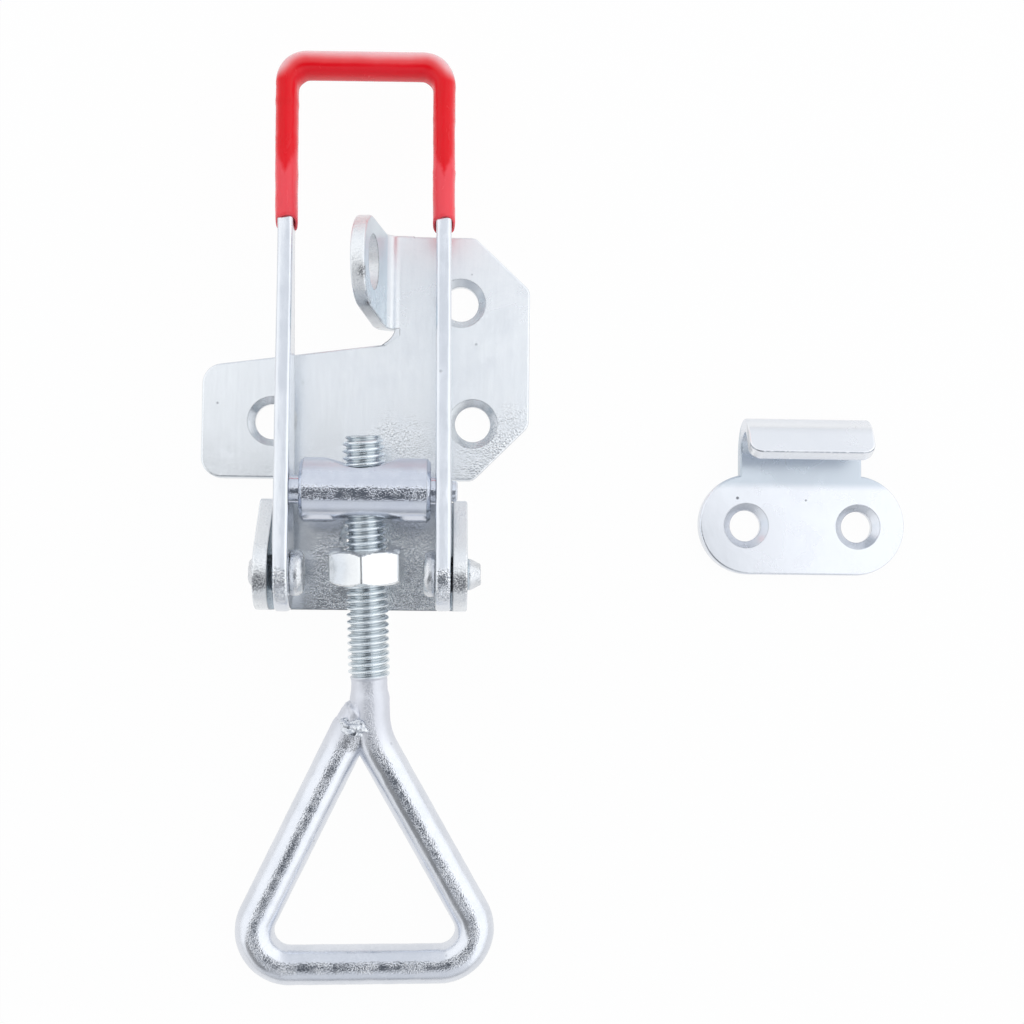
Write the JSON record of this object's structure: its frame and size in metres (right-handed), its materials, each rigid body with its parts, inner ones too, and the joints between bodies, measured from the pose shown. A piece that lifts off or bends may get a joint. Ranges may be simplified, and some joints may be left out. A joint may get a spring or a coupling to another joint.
{
  "type": "over centre toggle latch",
  "caption": "Adjustable over-centre toggle latch: U handle with grip sleeve, threaded draw loop, padlock ear and a separate hooked keeper plate.",
  "frame": {"origin": "centre of the base plate's front screw hole, on the mounting face", "axes": "+X to the right seen from above with the grip at the far end, +Y from the draw loop towards the grip, +Z away from the mounting face"},
  "size_m": [0.1033, 0.1324, 0.0201],
  "materials": {
    "base_zinc": "zinc plated, satin, fine vertical brushing",
    "rivet_zinc": "zinc plated, bright",
    "handle_zinc": "zinc plated, bright",
    "red_sleeve": "glossy soft vinyl",
    "barrel_zinc": "zinc plated, bright turned",
    "bar_zinc": "zinc plated, bright drawn bar",
    "nut_zinc": "zinc plated, bright",
    "keeper_zinc": "zinc plated, pale satin"
  },
  "bodies": {
    "base": {"base_plate": "base_zinc", "pivot_rivet_left": "rivet_zinc", "pivot_rivet_right": "rivet_zinc", "keeper_plate": "keeper_zinc"},
    "handle": {"handle_frame": "handle_zinc", "grip_sleeve": "red_sleeve"},
    "barrel": {"barrel": "barrel_zinc"},
    "hook": {"hook": "bar_zinc"},
    "nut": {"lock_nut": "nut_zinc"}
  },
  "joints": [
    {"name": "handle_hinge", "type": "hinge", "parent": "base", "child": "handle", "pos_m": [0, -0.005, 0.012], "axis": [1, 0, 0], "range_deg": [0, 175]},
    {"name": "barrel_swing", "type": "hinge", "parent": "handle", "child": "barrel", "pos_m": [0, 0.0066, 0.012], "axis": [1, 0, 0], "range_deg": [-175, 0]},
    {"name": "hook_adjust", "type": "slide", "parent": "barrel", "child": "hook", "axis": [0.0328, -0.9902, -0.1355], "range_m": [-0.0035, 0.003]},
    {"name": "lock_nut_spin", "type": "hinge", "parent": "hook", "child": "nut", "pos_m": [0.0008, -0.0039, 0.01056], "axis": [0.0328, -0.9902, -0.1355], "continuous": true}
  ],
  "couplings": [
    {"joint": "barrel_swing", "follows": "handle_hinge", "ratio": -1}
  ]
}
